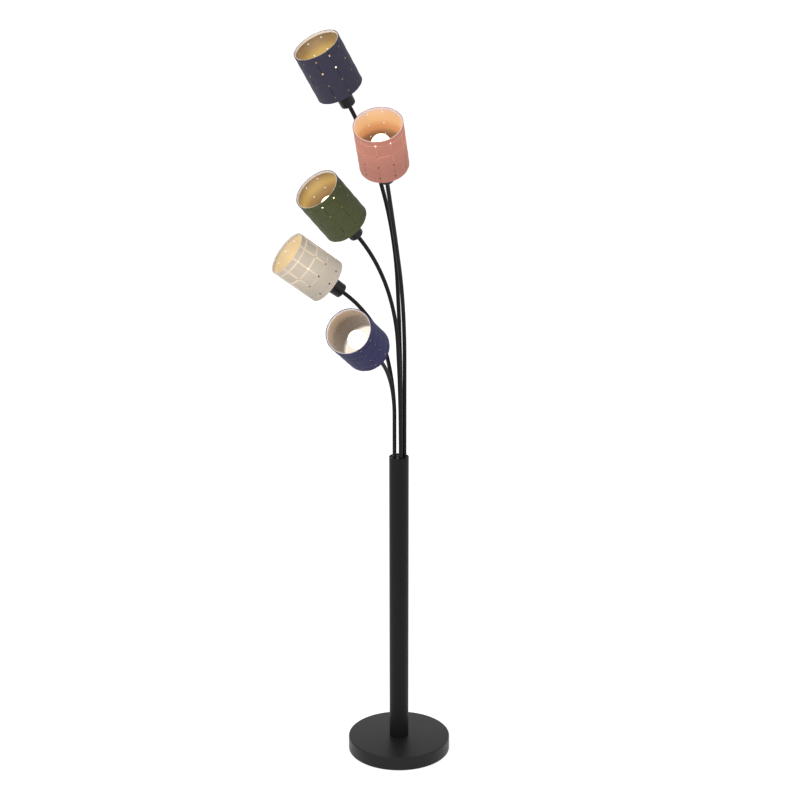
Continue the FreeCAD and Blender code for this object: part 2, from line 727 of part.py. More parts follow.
for colour in ARM_FORMS:
    head = bend_arm(colour)
    collar = tube_wall(colour + "_collar", ARM_BORE, ARM_BORE + " + collar_wall", "0",
                       "collar_height")
    keep(collar, FreeCAD.Placement(hole_place(read(colour + "_hole"), number(COLLAR_LOW)),
                                   FreeCAD.Rotation()))
    make_head(colour, head)

# ---------------------------------------------------------------- check and write
document.recompute()
for thing in document.Objects:
    faults = [word for word in ("Invalid", "Error") if word in thing.State]
    if faults:
        raise RuntimeError("%s is %s" % (thing.Name, faults))
for node in parts:
    if node.Shape.isNull() or not node.Shape.isValid():
        raise RuntimeError("%s has no valid shape" % node.Name)
    node.Shape.exportStep("parts/%s.step" % node.Label)
    print("%-16s solids %d  volume %.0f"
          % (node.Label, len(node.Shape.Solids), node.Shape.Volume))
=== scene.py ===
import math

import bmesh
import bpy
from mathutils import Matrix, Vector


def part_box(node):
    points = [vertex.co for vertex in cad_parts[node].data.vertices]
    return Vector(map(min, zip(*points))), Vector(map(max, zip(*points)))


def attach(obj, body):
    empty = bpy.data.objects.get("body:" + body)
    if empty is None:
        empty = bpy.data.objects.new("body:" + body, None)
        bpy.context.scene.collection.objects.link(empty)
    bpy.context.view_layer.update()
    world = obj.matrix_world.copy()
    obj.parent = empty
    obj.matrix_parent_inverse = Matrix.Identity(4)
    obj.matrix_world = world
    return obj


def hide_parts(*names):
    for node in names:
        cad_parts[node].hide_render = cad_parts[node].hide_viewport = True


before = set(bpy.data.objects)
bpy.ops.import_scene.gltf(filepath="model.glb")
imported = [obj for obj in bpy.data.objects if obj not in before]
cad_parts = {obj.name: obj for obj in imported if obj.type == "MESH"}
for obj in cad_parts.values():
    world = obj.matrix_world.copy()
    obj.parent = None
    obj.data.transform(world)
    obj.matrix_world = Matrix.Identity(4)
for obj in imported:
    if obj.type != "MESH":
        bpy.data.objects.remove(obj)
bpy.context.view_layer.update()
mm = 0.001

# ------------------------------------------------------------------ camera
# The eye is at standing height in front of the lamp, looking slightly down on it, so the
# shades are seen into and the base shows its round top.
FRAME_WIDTH = 800
FOCAL_PIXELS = 1838
EYE = Vector((0.0026, -4.406, 2.312))
LOOK_DOWN = math.radians(17.0)

camera_data = bpy.data.cameras.new("camera")
camera_data.sensor_width = 36
camera_data.lens = camera_data.sensor_width * FOCAL_PIXELS / FRAME_WIDTH
camera = bpy.data.objects.new("camera", camera_data)
camera.location = EYE
camera.rotation_euler = (math.pi / 2 - LOOK_DOWN, 0, 0)
bpy.context.scene.collection.objects.link(camera)
bpy.context.scene.camera = camera
bpy.context.scene.view_settings.view_transform = "Standard"

# ------------------------------------------------------------------ floor and studio light
# A wide pale floor under an even white room, with one large soft lamp to the left and a
# weaker one to the right, so the black metal shows soft edges and the base a faint shadow.
FLOOR_REACH = 40
FLOOR_PALE = (0.80, 0.80, 0.80, 1)
FLOOR_LIFT = 0.62
ROOM_LIGHT = 0.55
LAMPS_FACE = Vector((0, 0, 1.0))


def new_material(name):
    """A material with its own Principled shader; returns it, its nodes, links and shader."""
    made = bpy.data.materials.new(name)
    made.use_nodes = True
    nodes = made.node_tree.nodes
    return made, nodes, made.node_tree.links, nodes["Principled BSDF"]


def seen_directly(nodes, links):
    """One for rays that a viewer, a mirror or clear glass would see, zero for other light."""
    path = nodes.new("ShaderNodeLightPath")
    either = nodes.new("ShaderNodeMath")
    either.operation = "MAXIMUM"
    links.new(path.outputs["Is Camera Ray"], either.inputs[0])
    links.new(path.outputs["Is Glossy Ray"], either.inputs[1])
    any_of = nodes.new("ShaderNodeMath")
    any_of.operation = "MAXIMUM"
    links.new(either.outputs[0], any_of.inputs[0])
    links.new(path.outputs["Is Transmission Ray"], any_of.inputs[1])
    return any_of.outputs[0]


floor_paint, nodes, links, shader = new_material("floor_paint")
shader.inputs["Base Color"].default_value = FLOOR_PALE
shader.inputs["Roughness"].default_value = 0.9
shader.inputs["Specular IOR Level"].default_value = 0
shader.inputs["Emission Color"].default_value = (1, 1, 1, 1)
lift = nodes.new("ShaderNodeMath")
lift.operation = "MULTIPLY"
lift.inputs[1].default_value = FLOOR_LIFT
links.new(seen_directly(nodes, links), lift.inputs[0])
links.new(lift.outputs[0], shader.inputs["Emission Strength"])

floor_mesh = bpy.data.meshes.new("floor")
shape = bmesh.new()
bmesh.ops.create_circle(shape, cap_ends=True, segments=96, radius=FLOOR_REACH)
shape.to_mesh(floor_mesh)
shape.free()
floor = bpy.data.objects.new("floor", floor_mesh)
floor.data.materials.append(floor_paint)
bpy.context.scene.collection.objects.link(floor)

world = bpy.data.worlds.new("room")
world.use_nodes = True
nodes = world.node_tree.nodes
links = world.node_tree.links
brightness = nodes.new("ShaderNodeMapRange")
brightness.inputs["To Min"].default_value = ROOM_LIGHT
brightness.inputs["To Max"].default_value = 1.0
links.new(seen_directly(nodes, links), brightness.inputs["Value"])
links.new(brightness.outputs["Result"], nodes["Background"].inputs["Strength"])
nodes["Background"].inputs["Color"].default_value = (1, 1, 1, 1)
bpy.context.scene.world = world


def soft_lamp(name, place, width, power):
    """A square lamp that faces the middle of the object's height."""
    data = bpy.data.lights.new(name, "AREA")
    data.size = width
    data.energy = power
    lamp = bpy.data.objects.new(name, data)
    lamp.location = place
    facing = LAMPS_FACE - lamp.location
    lamp.rotation_euler = facing.to_track_quat("-Z", "Y").to_euler()
    bpy.context.scene.collection.objects.link(lamp)


soft_lamp("key_lamp", Vector((-2.6, -3.0, 3.2)), 2.2, 95)
soft_lamp("fill_lamp", Vector((3.0, -2.2, 2.4)), 2.4, 45)

# ------------------------------------------------------------------ black coat
# Pole, arms, cups and base cover are steel in a satin black powder coat: a fine even grain,
# a little duller in places, and no bare edges.  The tubes are coated duller than the rest.


def new_group(name, sockets):
    """An empty shader group with named sockets, each (name, direction, kind, default)."""
    group = bpy.data.node_groups.new(name, "ShaderNodeTree")
    for label, direction, kind, value in sockets:
        socket = group.interface.new_socket(label, in_out=direction, socket_type=kind)
        if value is not None:
            socket.default_value = value
    entry = group.nodes.new("NodeGroupInput")
    leave = group.nodes.new("NodeGroupOutput")
    return group, group.nodes, group.links, entry, leave


def add_group(nodes, group, **values):
    """One use of a group in a material, with its own values."""
    node = nodes.new("ShaderNodeGroup")
    node.node_tree = group
    for label, value in values.items():
        node.inputs[label.replace("_", " ")].default_value = value
    return node


def calculate(nodes, links, operation, *inputs, clamp=False):
    """A math node whose inputs are sockets or plain numbers."""
    node = nodes.new("ShaderNodeMath")
    node.operation = operation
    node.use_clamp = clamp
    for index, value in enumerate(inputs):
        if isinstance(value, (int, float)):
            node.inputs[index].default_value = value
        else:
            links.new(value, node.inputs[index])
    return node.outputs[0]


FLOAT = "NodeSocketFloat"
VECTOR = "NodeSocketVector"

fine_grain, nodes, links, entry, leave = new_group("fine_grain", [
    ("Place", "INPUT", VECTOR, None),
    ("Scale", "INPUT", FLOAT, 900.0),
    ("Duller Patches", "INPUT", FLOAT, 0.08),
    ("Plain Roughness", "INPUT", FLOAT, 0.4),
    ("Height", "OUTPUT", FLOAT, None),
    ("Roughness", "OUTPUT", FLOAT, None),
])
grain = nodes.new("ShaderNodeTexNoise")
grain.inputs["Detail"].default_value = 3
links.new(entry.outputs["Place"], grain.inputs["Vector"])
links.new(entry.outputs["Scale"], grain.inputs["Scale"])
links.new(grain.outputs["Fac"], leave.inputs["Height"])
patches = nodes.new("ShaderNodeTexNoise")
patches.inputs["Scale"].default_value = 9
patches.inputs["Detail"].default_value = 4
links.new(entry.outputs["Place"], patches.inputs["Vector"])
swing = calculate(nodes, links, "SUBTRACT", patches.outputs["Fac"], 0.5)
swing = calculate(nodes, links, "MULTIPLY", swing, entry.outputs["Duller Patches"])
swing = calculate(nodes, links, "ADD", swing, entry.outputs["Plain Roughness"])
links.new(swing, leave.inputs["Roughness"])


def grained(name, color, roughness, grain_scale, depth, patchiness=0.08, metallic=0.0):
    """A one-colour finish with a fine grain in its surface."""
    made, nodes, links, shader = new_material(name)
    shader.inputs["Base Color"].default_value = (*color, 1)
    shader.inputs["Metallic"].default_value = metallic
    place = nodes.new("ShaderNodeTexCoord")
    texture = add_group(nodes, fine_grain, Scale=grain_scale, Duller_Patches=patchiness,
                        Plain_Roughness=roughness)
    links.new(place.outputs["Object"], texture.inputs["Place"])
    links.new(texture.outputs["Roughness"], shader.inputs["Roughness"])
    bump = nodes.new("ShaderNodeBump")
    bump.inputs["Strength"].default_value = 0.5
    bump.inputs["Distance"].default_value = depth
    links.new(texture.outputs["Height"], bump.inputs["Height"])
    links.new(bump.outputs["Normal"], shader.inputs["Normal"])
    return made


black_coat = grained("black_coat", (0.0085, 0.0083, 0.0088), roughness=0.42,
                     grain_scale=1100.0, depth=0.12 * mm)
black_coat_shader = black_coat.node_tree.nodes["Principled BSDF"]
black_coat_shader.inputs["Specular IOR Level"].default_value = 0.20
tube_coat = grained("tube_coat", (0.0062, 0.0061, 0.0064), roughness=0.45,
                    grain_scale=1100.0, depth=0.12 * mm)
tube_coat_shader = tube_coat.node_tree.nodes["Principled BSDF"]
tube_coat_shader.inputs["Specular IOR Level"].default_value = 0.13


def dress(node, material):
    """Give a piece that the frame already holds a better finish."""
    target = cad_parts[node]
    for slot in target.material_slots:
        slot.material = material


# ------------------------------------------------------------------ base
# A heavy cast disc on a soft foam foot, hidden under a pressed steel cover.  The cover's top
# is flat and its edge is rounded over; the pole stands straight on it.
COVER_LOW, COVER_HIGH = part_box("base_cover")
COVER_RADIUS = (COVER_HIGH[0] - COVER_LOW[0]) / 2
COVER_WALL = 1.5 * mm
COVER_EDGE = 3.0 * mm
TIE_HOLE = 6.0 * mm


def turn_outline(name, outline, steps, place=Matrix(), closed=True, rounded=0.0,
                 sharp_from=40):
    """A piece turned on a lathe: an outline of (radius, height) spun about the axis."""
    shape = bmesh.new()
    points = [shape.verts.new((radius, 0, height)) for radius, height in outline]
    count = len(points) if closed else len(points) - 1
    for i in range(count):
        shape.edges.new((points[i], points[(i + 1) % len(points)]))
    bmesh.ops.spin(shape, geom=shape.verts[:] + shape.edges[:], cent=(0, 0, 0),
                   axis=(0, 0, 1), angle=math.tau, steps=steps, use_merge=True)
    bmesh.ops.remove_doubles(shape, verts=shape.verts[:], dist=1e-6)
    bmesh.ops.recalc_face_normals(shape, faces=shape.faces[:])
    return finish_piece(name, shape, place, rounded, sharp_from)


def finish_piece(name, shape, place, rounded=0.0, sharp_from=40):
    """Put a modelled shape in its place as an object at the origin, its edges eased."""
    shape.transform(place)
    mesh = bpy.data.meshes.new(name)
    shape.to_mesh(mesh)
    shape.free()
    mesh.shade_smooth()
    piece = bpy.data.objects.new(name, mesh)
    bpy.context.scene.collection.objects.link(piece)
    if rounded:
        ease = piece.modifiers.new("eased_edges", "BEVEL")
        ease.width = rounded
        ease.segments = 3
        ease.limit_method = "ANGLE"
        ease.angle_limit = math.radians(sharp_from)
        ease.harden_normals = True
    else:
        mesh.set_sharp_from_angle(angle=math.radians(sharp_from))
    return piece


def quarter_round(across, up, radius, start, steps=6):
    """Points of a quarter circle about a centre, turning anticlockwise from an angle."""
    points = []
    for i in range(steps + 1):
        angle = math.radians(start + 90 * i / steps)
        points.append((across + radius * math.cos(angle), up + radius * math.sin(angle)))
    return points


cover_outline = [(TIE_HOLE, COVER_HIGH[2] - COVER_WALL),
                 (COVER_RADIUS - COVER_WALL, COVER_HIGH[2] - COVER_WALL),
                 (COVER_RADIUS - COVER_WALL, COVER_LOW[2]),
                 (COVER_RADIUS, COVER_LOW[2])]
cover_outline += quarter_round(COVER_RADIUS - COVER_EDGE, COVER_HIGH[2] - COVER_EDGE,
                               COVER_EDGE, 0)
cover_outline += [(TIE_HOLE, COVER_HIGH[2])]
cover = turn_outline("base_cover_shell", cover_outline, 192)
cover.data.materials.append(black_coat)
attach(cover, "stand")
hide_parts("base_cover")

pad_foam = grained("pad_foam", (0.03, 0.03, 0.03), roughness=0.9, grain_scale=450.0,
                   depth=0.4 * mm)
casting = grained("casting", (0.09, 0.09, 0.09), roughness=0.7, grain_scale=260.0,
                  depth=0.6 * mm, metallic=0.6)
black_plastic = grained("black_plastic", (0.014, 0.014, 0.014), roughness=0.48,
                        grain_scale=700.0, depth=0.1 * mm)
zinc_steel = grained("zinc_steel", (0.56, 0.57, 0.58), roughness=0.34, grain_scale=300.0,
                     depth=0.08 * mm, metallic=1.0)
dress("base_pad", pad_foam)
dress("base_weight", casting)
dress("cable_outlet", black_plastic)
for node in ("tie_tube", "tie_washer", "tie_nut", "pole_plug"):
    dress(node, zinc_steel)

# ------------------------------------------------------------------ pole
# One straight steel tube, its top rim eased and left open; the plate that carries the arms
# sits just below the rim.
POLE_LOW, POLE_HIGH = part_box("pole_tube")
POLE_RADIUS = (POLE_HIGH[0] - POLE_LOW[0]) / 2
POLE_WALL = 2.0 * mm
POLE_RIM = 0.6 * mm

pole_outline = [(POLE_RADIUS - POLE_WALL, POLE_LOW[2]), (POLE_RADIUS, POLE_LOW[2])]
pole_outline += quarter_round(POLE_RADIUS - POLE_RIM, POLE_HIGH[2] - POLE_RIM, POLE_RIM, 0, 4)
pole_outline += quarter_round(POLE_RADIUS - POLE_WALL + POLE_RIM, POLE_HIGH[2] - POLE_RIM,
                              POLE_RIM, 90, 4)
pole = turn_outline("pole_skin", pole_outline, 96)
pole.data.materials.append(tube_coat)
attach(pole, "stand")
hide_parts("pole_tube")

white_plastic = grained("white_plastic", (0.78, 0.77, 0.74), roughness=0.45,
                        grain_scale=500.0, depth=0.1 * mm)
dress("terminal_block", white_plastic)
dress("top_plate", black_coat)
dress("guide_plate", zinc_steel)
dress("arm_bushes", black_plastic)

# ------------------------------------------------------------------ arms
# Five steel tubes bent over two tangent arcs.  Each stands upright in its own hole round the
# pole's axis and ends in the cup of its shade.  Angles are in degrees, lengths in metres.
HOLE_CIRCLE = 14 * mm
TUBE_RADIUS = 5 * mm
SCREWED_IN = 12 * mm
ARM_FORMS = {
    "blue": dict(hole=72, heading=221, rise=0.14144, lower_bend=4.4, lower_turn=4.1,
                 upper_bend=0.92924, tilt=33.3, shade_turn=3.5),
    "pink": dict(hole=0, heading=259.4, rise=0.24777, lower_bend=0.499, lower_turn=31,
                 upper_bend=4.11894, tilt=35, shade_turn=1.3),
    "green": dict(hole=-72, heading=221, rise=0.03058, lower_bend=3.85, lower_turn=4,
                  upper_bend=0.46989, tilt=43.8, shade_turn=13.1),
    "white": dict(hole=144, heading=199.2, rise=0.1011, lower_bend=0.676, lower_turn=13,
                  upper_bend=0.32396, tilt=52.5, shade_turn=16.7),
    "navy": dict(hole=-144, heading=246.4, rise=0.10884, lower_bend=0.20427, lower_turn=54.8,
                 upper_bend=1.17, tilt=56.9, shade_turn=5.9),
}
BEND_STEP = 1.5  # degrees of bend between two rings of the tube


def last_ring(result):
    """The ring of edges and vertices that an extrusion or a spin ended on."""
    return [item for item in result if not isinstance(item, bmesh.types.BMFace)]


def sweep_straight(shape, ring, along):
    """Draw a ring of the tube out along a straight run."""
    edges = [item for item in ring if isinstance(item, bmesh.types.BMEdge)]
    drawn = last_ring(bmesh.ops.extrude_edge_only(shape, edges=edges)["geom"])
    moved = [item for item in drawn if isinstance(item, bmesh.types.BMVert)]
    bmesh.ops.translate(shape, verts=moved, vec=along)
    return drawn


def sweep_bend(shape, ring, centre, degrees):
    """Draw a ring of the tube round a bend about a centre in its own upright plane."""
    steps = max(2, round(degrees / BEND_STEP))
    bent = bmesh.ops.spin(shape, geom=ring, cent=centre, axis=(0, 1, 0),
                          angle=math.radians(degrees), steps=steps)
    return last_ring(bent["geom_last"])


def bend_arm(colour):
    """The arm's tube in its own plane, leaning towards +X; returns it and its head's place."""
    form = ARM_FORMS[colour]
    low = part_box(colour + "_arm")[0][2]
    top = POLE_HIGH[2] + form["rise"]
    first = math.radians(form["lower_turn"])
    tilt = math.radians(form["tilt"])
    lower_centre = Vector((form["lower_bend"], 0, top))
    knee = lower_centre + form["lower_bend"] * Vector((-math.cos(first), 0, math.sin(first)))
    upper_centre = knee + form["upper_bend"] * Vector((math.cos(first), 0, -math.sin(first)))
    tip = upper_centre + form["upper_bend"] * Vector((-math.cos(tilt), 0, math.sin(tilt)))

    shape = bmesh.new()
    bmesh.ops.create_circle(shape, cap_ends=False, segments=32, radius=TUBE_RADIUS)
    bmesh.ops.translate(shape, verts=shape.verts[:], vec=(0, 0, low))
    ring = shape.verts[:] + shape.edges[:]
    ring = sweep_straight(shape, ring, Vector((0, 0, top - low)))
    ring = sweep_bend(shape, ring, lower_centre, form["lower_turn"])
    ring = sweep_bend(shape, ring, upper_centre, form["tilt"] - form["lower_turn"])
    sweep_straight(shape, ring, SCREWED_IN * Vector((math.sin(tilt), 0, math.cos(tilt))))
    bmesh.ops.remove_doubles(shape, verts=shape.verts[:], dist=1e-6)
    bmesh.ops.holes_fill(shape, edges=shape.edges[:], sides=0)
    bmesh.ops.recalc_face_normals(shape, faces=shape.faces[:])

    hole = math.radians(form["hole"])
    place = Matrix.Translation((HOLE_CIRCLE * math.cos(hole), HOLE_CIRCLE * math.sin(hole), 0))
    place = place @ Matrix.Rotation(math.radians(form["heading"]), 4, "Z")
    arm = finish_piece(colour + "_arm_tube", shape, place)
    head = place @ Matrix.Translation(tip) @ Matrix.Rotation(tilt, 4, "Y")
    return arm, head


heads = {}
for colour in ARM_FORMS:
    arm, heads[colour] = bend_arm(colour)
    arm.data.materials.append(tube_coat)
    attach(arm, colour + "_branch")
    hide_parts(colour + "_arm")
    dress(colour + "_collar", zinc_steel)

# ------------------------------------------------------------------ cups
# A black cup covers each lamp holder: a flat foot with an eased edge, and a wall that opens
# a little towards the shade.  All heights in a head are measured up its own axis from the
# cup's foot.
CUP_RADIUS = 20 * mm
CUP_FOOT_RADIUS = 18.2 * mm
CUP_EDGE = 3 * mm
CUP_HEIGHT = 47 * mm
CUP_WALL = 1.5 * mm
CUP_FLOOR = 4 * mm
cup_outline = [(TUBE_RADIUS, 0)]
cup_outline += quarter_round(CUP_FOOT_RADIUS - CUP_EDGE, CUP_EDGE, CUP_EDGE, -90)
cup_outline += [(CUP_RADIUS, CUP_HEIGHT), (CUP_RADIUS - CUP_WALL, CUP_HEIGHT),
                (CUP_FOOT_RADIUS - CUP_WALL, CUP_FLOOR), (TUBE_RADIUS, CUP_FLOOR)]

for colour, head in heads.items():
    cup = turn_outline(colour + "_socket_cup", cup_outline, 72, head, rounded=0.4 * mm,
                       sharp_from=50)
    cup.data.materials.append(black_coat)
    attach(cup, colour + "_branch")
    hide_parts(colour + "_cup")
    dress(colour + "_holder", black_plastic)
    dress(colour + "_ring", black_plastic)

# ------------------------------------------------------------------ bulbs
# A small round lamp: an opal globe that glows warm white, on a plain cap with a rolled
# thread, screwed down into the holder.
GLOBE_RADIUS = 22.5 * mm
GLOBE_CENTRE = 114 * mm
GLOBE_NECK = 7.6 * mm
NECK_FLARE = 1.2 * mm
NECK_HEIGHT = 4 * mm
GLOBE_SHOULDER = -44  # where the globe meets its neck, in degrees up from its middle
GLOBE_STEPS = 24
CAP_FOOT = 58 * mm
CAP_TOP = 86 * mm
CAP_RADIUS = 6.9 * mm
CAP_STEM = 5.9 * mm
CAP_TIP = 3.5 * mm
CAP_TIP_HEIGHT = 3 * mm
CAP_COLLAR = 2 * mm
THREAD_PITCH = 2.8 * mm
THREAD_ENDS = 4 * mm
THREAD_CREST = (0.35, 0.65)  # where a turn is at its widest, as parts of the pitch

globe_outline = [(0, CAP_TOP), (GLOBE_NECK, CAP_TOP),
                 (GLOBE_NECK + NECK_FLARE, CAP_TOP + NECK_HEIGHT)]
for step in range(GLOBE_STEPS + 1):
    angle = math.radians(GLOBE_SHOULDER + (90 - GLOBE_SHOULDER) * step / GLOBE_STEPS)
    globe_outline.append((GLOBE_RADIUS * math.cos(angle),
                          GLOBE_CENTRE + GLOBE_RADIUS * math.sin(angle)))
cap_outline = [(0, CAP_FOOT), (CAP_TIP, CAP_FOOT), (CAP_STEM, CAP_FOOT + CAP_TIP_HEIGHT)]
thread_turns = int((CAP_TOP - CAP_FOOT - 2 * THREAD_ENDS) / THREAD_PITCH)
for turn in range(thread_turns):
    foot = CAP_FOOT + THREAD_ENDS + turn * THREAD_PITCH
    cap_outline.append((CAP_STEM, foot))
    for part in THREAD_CREST:
        cap_outline.append((CAP_RADIUS, foot + THREAD_PITCH * part))
cap_outline += [(CAP_RADIUS, CAP_TOP - CAP_COLLAR), (CAP_RADIUS, CAP_TOP), (0, CAP_TOP)]

WARM_WHITE = (1.0, 0.80, 0.55, 1)
BULB_GLOW = 2.6
opal, nodes, links, shader = new_material("opal_glass")
shader.inputs["Base Color"].default_value = (0.93, 0.92, 0.88, 1)
shader.inputs["Roughness"].default_value = 0.35
shader.inputs["Emission Color"].default_value = WARM_WHITE
shader.inputs["Emission Strength"].default_value = BULB_GLOW
cap_metal = grained("cap_metal", (0.74, 0.74, 0.73), roughness=0.3, grain_scale=300.0,
                    depth=0.05 * mm, metallic=1.0)

for colour, head in heads.items():
    globe = turn_outline(colour + "_bulb_globe", globe_outline, 48, head, closed=False,
                         sharp_from=60)
    globe.data.materials.append(opal)
    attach(globe, colour + "_branch")
    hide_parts(colour + "_globe")
    cap = turn_outline(colour + "_bulb_cap", cap_outline, 32, head, closed=False)
    cap.data.materials.append(cap_metal)
    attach(cap, colour + "_branch")
    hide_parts(colour + "_cap")

# ------------------------------------------------------------------ shade pattern
# Shell and liner share one lattice: ten upright strips woven through rings of the same
# cloth, with a small round hole where four strips meet, through both layers.
SHADE_RADIUS = 57.4 * mm
SHADE_FOOT = CUP_HEIGHT
SHADE_HEIGHT = 125.6 * mm
RIM = SHADE_FOOT + SHADE_HEIGHT
COLUMNS = 10
COLUMN_PITCH = math.tau * SHADE_RADIUS / COLUMNS
HOLE_RADIUS = 2.6 * mm
FIRST_ROW = 13.6 * mm
ROW_PITCH = 33 * mm
ROWS = 4
STEP_HALF = 0.15 * mm
IN_HOLE = [0.38, 0.73, 1.0]  # lines within a hole, as parts of its radius
FROM_SEAM = [0.12, 0.17, 0.28, 0.40, 0.5]  # further lines, as parts of the pitch


def lines_about(places, hole_radius, pitch, low, high):
    """Grid lines drawn close together by each row of holes and wider between them."""
    lines = {low, high}
    steps = [STEP_HALF] + [part * hole_radius for part in IN_HOLE]
    steps += [part * pitch for part in FROM_SEAM]
    for place in places:
        for step in steps:
            for line in (place - step, place + step):
                if low - 1e-9 <= line <= high + 1e-9:
                    lines.add(line)
    ordered = []
    for line in sorted(lines):
        if not ordered or line - ordered[-1] > 0.05 * mm:
            ordered.append(line)
    return ordered


def pierced_sheet(hole_radius):
    """A flat sheet as long as the shade's girth, with its round holes cut."""
    columns = [i * COLUMN_PITCH for i in range(COLUMNS + 1)]
    column_lines = lines_about(columns, hole_radius, COLUMN_PITCH, 0.0, columns[-1])
    rows = [FIRST_ROW + i * ROW_PITCH for i in range(ROWS)]
    row_lines = lines_about(rows, hole_radius, ROW_PITCH, 0.0, SHADE_HEIGHT)
    across_count = len(column_lines) - 1
    down_count = len(row_lines) - 1
    shape = bmesh.new()
    bmesh.ops.create_grid(shape, x_segments=across_count, y_segments=down_count, size=0.5)
    inside_holes = []
    for point in shape.verts:
        across = column_lines[round((point.co.x + 0.5) * across_count)]
        down = row_lines[round((point.co.y + 0.5) * down_count)]
        from_column = across - round(across / COLUMN_PITCH) * COLUMN_PITCH
        from_row = down - FIRST_ROW - round((down - FIRST_ROW) / ROW_PITCH) * ROW_PITCH
        square_reach = max(abs(from_column), abs(from_row))
        if square_reach < hole_radius - 1e-6:
            inside_holes.append(point)
        elif square_reach < hole_radius + 1e-6:
            pull = hole_radius / math.hypot(from_column, from_row) - 1
            across += from_column * pull
            down += from_row * pull
        point.co = (across, down, 0)
    bmesh.ops.delete(shape, geom=inside_holes, context="VERTS")
    sheet = shape.loops.layers.uv.new("sheet")
    for face in shape.faces:
        for corner in face.loops:
            corner[sheet].uv = corner.vert.co.xy
        face.smooth = True
    return shape


def roll_up(shape, radius, swell_height, thickness):
    """Roll a sheet into a closed sleeve of a wall thickness, its weave standing proud."""
    for point in shape.verts:
        across, down = point.co.x, point.co.y
        around = radius - swell_height * (1 - swell(across, down))
        angle = across / SHADE_RADIUS
        point.co = (around * math.cos(angle), around * math.sin(angle), RIM - down)
    bmesh.ops.remove_doubles(shape, verts=shape.verts[:], dist=1e-5)
    bmesh.ops.recalc_face_normals(shape, faces=shape.faces[:])
    bmesh.ops.solidify(shape, geom=shape.faces[:], thickness=thickness)
    bmesh.ops.recalc_face_normals(shape, faces=shape.faces[:])


def swell(across, down):
    """How high the weave stands at a point of the flat sheet, from 0 to 1."""
    column = across / COLUMN_PITCH
    row = (down - FIRST_ROW) / ROW_PITCH
    upright_on_top = (math.floor(column) + math.floor(row)) % 2 == 0
    along = row if upright_on_top else column
    return abs(math.sin(math.pi * along))


lattice, nodes, links, entry, leave = new_group("strip_lattice", [
    ("Sheet", "INPUT", VECTOR, None),
    ("Seam Width", "INPUT", FLOAT, 0.0012),
    ("Line", "OUTPUT", FLOAT, None),
    ("Upright Shadow", "OUTPUT", FLOAT, None),
    ("Ring", "OUTPUT", FLOAT, None),
    ("Depth", "OUTPUT", FLOAT, None),
])
split = nodes.new("ShaderNodeSeparateXYZ")
links.new(entry.outputs["Sheet"], split.inputs[0])


def line_mask(nodes, links, along, pitch, offset, width):
    """One on each of a row of parallel lines of the sheet, falling to zero beside them."""
    shifted = calculate(nodes, links, "SUBTRACT", along, offset)
    away = calculate(nodes, links, "PINGPONG", shifted, pitch / 2)
    away = calculate(nodes, links, "DIVIDE", away, width)
    return calculate(nodes, links, "SUBTRACT", 1.0, away, clamp=True)


# An upright seam gapes most half way between two holes, and more on every second panel; the
# shadow in that gap is painted on as a darker line, which is painted shade.
SECOND_PANEL_MORE = 0.6
seam_width = entry.outputs["Seam Width"]
upright = line_mask(nodes, links, split.outputs["X"], COLUMN_PITCH, 0.0, seam_width)
rows_down = calculate(nodes, links, "SUBTRACT", split.outputs["Y"], FIRST_ROW)
rows_down = calculate(nodes, links, "DIVIDE", rows_down, ROW_PITCH)
wave = calculate(nodes, links, "SINE", calculate(nodes, links, "MULTIPLY", rows_down, math.pi))
upright_gap_shadow = calculate(nodes, links, "ABSOLUTE", wave)
column = calculate(nodes, links, "DIVIDE", split.outputs["X"], COLUMN_PITCH)
column = calculate(nodes, links, "ROUND", column)
row = calculate(nodes, links, "FLOOR", rows_down)
panel = calculate(nodes, links, "ADD", column, row)
second = calculate(nodes, links, "PINGPONG", panel, 1.0)
wider = calculate(nodes, links, "MULTIPLY_ADD", second, SECOND_PANEL_MORE,
                  1 - SECOND_PANEL_MORE)
upright_gap_shadow = calculate(nodes, links, "MULTIPLY", upright_gap_shadow, wider)
links.new(upright, leave.inputs["Line"])
upright = calculate(nodes, links, "MULTIPLY", upright, upright_gap_shadow)
links.new(upright, leave.inputs["Upright Shadow"])
ring = line_mask(nodes, links, split.outputs["Y"], ROW_PITCH, FIRST_ROW, seam_width)
links.new(ring, leave.inputs["Ring"])
depth = calculate(nodes, links, "DIVIDE", split.outputs["Y"], SHADE_HEIGHT)
links.new(depth, leave.inputs["Depth"])

# ------------------------------------------------------------------ shells
# The outer shell is soft felt: upright strips pass over and under the rings, so each panel
# is a strip that swells up over its neighbours' edges and dips under the next ring.
WEAVE_SWELL = 0.65 * mm
FELT_THICKNESS = 1.05 * mm
SHELL_SKIN = SHADE_RADIUS - 0.1 * mm
GLOW_FULL = 0.38  # how far down from the rim the bulb lights the felt fully, and where it
GLOW_ENDS = 0.78  # stops, as parts of the shade's height
GLOW_WARMTH = (1.15, 1.0, 0.85)

felt_fibres, nodes, links, entry, leave = new_group("felt_fibres", [
    ("Sheet", "INPUT", VECTOR, None),
    ("Fibre Scale", "INPUT", FLOAT, 1500.0),
    ("Mottle", "INPUT", FLOAT, 0.12),
    ("Height", "OUTPUT", FLOAT, None),
    ("Tone", "OUTPUT", FLOAT, None),
])
fibre = nodes.new("ShaderNodeTexNoise")
fibre.inputs["Detail"].default_value = 5
fibre.inputs["Distortion"].default_value = 1.2
links.new(entry.outputs["Sheet"], fibre.inputs["Vector"])
links.new(entry.outputs["Fibre Scale"], fibre.inputs["Scale"])
cloud = nodes.new("ShaderNodeTexNoise")
cloud.inputs["Scale"].default_value = 60
cloud.inputs["Detail"].default_value = 4
links.new(entry.outputs["Sheet"], cloud.inputs["Vector"])
mixed = calculate(nodes, links, "MULTIPLY_ADD", cloud.outputs["Fac"], 0.5,
                  calculate(nodes, links, "MULTIPLY", fibre.outputs["Fac"], 0.5))
tone = calculate(nodes, links, "SUBTRACT", mixed, 0.5)
